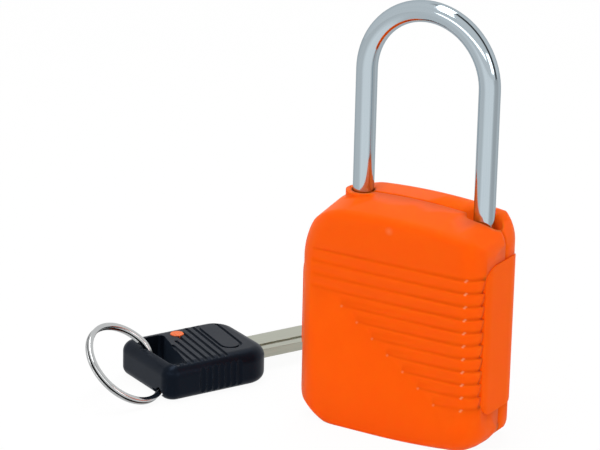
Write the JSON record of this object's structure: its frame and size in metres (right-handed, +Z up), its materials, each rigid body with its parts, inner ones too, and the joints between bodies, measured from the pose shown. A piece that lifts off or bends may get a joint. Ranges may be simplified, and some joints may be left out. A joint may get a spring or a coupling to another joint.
{
  "type": "safety padlock",
  "caption": "Safety padlock with a ribbed moulded casing in two shells, a long steel shackle and a keyed cylinder, beside its plastic-headed key on a split ring.",
  "frame": {"origin": "middle of the casing's width, on its base, in the plane of the seam and the shackle", "axes": "+Z up along the shackle's legs, -Y towards the ribbed front, +X towards the shackle's toe"},
  "size_m": [0.0875, 0.0681, 0.0925],
  "materials": {
    "orange_nylon": "satin moulded",
    "orange_panel": "satin moulded",
    "polished_steel": "polished",
    "plated_steel": "zinc plated",
    "spring_steel": "drawn wire",
    "cylinder_brass": "turned",
    "nickel_silver": "brushed",
    "black_nylon": "satin moulded",
    "orange_dot": "satin moulded",
    "nickel_plate": "plated"
  },
  "bodies": {
    "casing": {"front_shell": "orange_nylon", "rear_shell": "orange_nylon", "left_side_panel": "orange_panel", "right_side_panel": "orange_panel", "shackle_retainer": "plated_steel", "shackle_spring": "spring_steel", "cylinder_housing": "cylinder_brass", "driver_pins": "cylinder_brass", "pin_springs": "spring_steel", "chamber_strip": "cylinder_brass", "key_blade": "nickel_silver", "key_head": "black_nylon", "key_dot": "orange_dot"},
    "shackle": {"shackle": "polished_steel"},
    "bolt": {"locking_bolt": "plated_steel"},
    "plug": {"cylinder_plug": "cylinder_brass", "plug_clip": "spring_steel", "drive_cam": "plated_steel", "key_pins": "cylinder_brass"},
    "key_ring": {"key_ring": "nickel_plate"}
  },
  "joints": [
    {"name": "shackle_lift", "type": "slide", "parent": "casing", "child": "shackle", "axis": [0, 0, 1], "range_m": [0, 0.0155], "deforming": ["shackle_spring"]},
    {"name": "plug_turn", "type": "hinge", "parent": "casing", "child": "plug", "pos_m": [0.005, 0, 0], "axis": [0, 0, 1], "range_deg": [0, 90]},
    {"name": "bolt_slide", "type": "slide", "parent": "casing", "child": "bolt", "axis": [-1, 0, 0], "range_m": [0, 0.006]},
    {"name": "ring_turn", "type": "hinge", "parent": "casing", "child": "key_ring", "pos_m": [-0.05687, -0.02252, 0.00755], "axis": [0.6829, 0.0238, 0.7302], "continuous": true}
  ],
  "couplings": [
    {"joint": "plug_turn", "follows": "shackle_lift", "rad_per_m": 101.34},
    {"joint": "bolt_slide", "follows": "shackle_lift", "ratio": 0.38709}
  ]
}
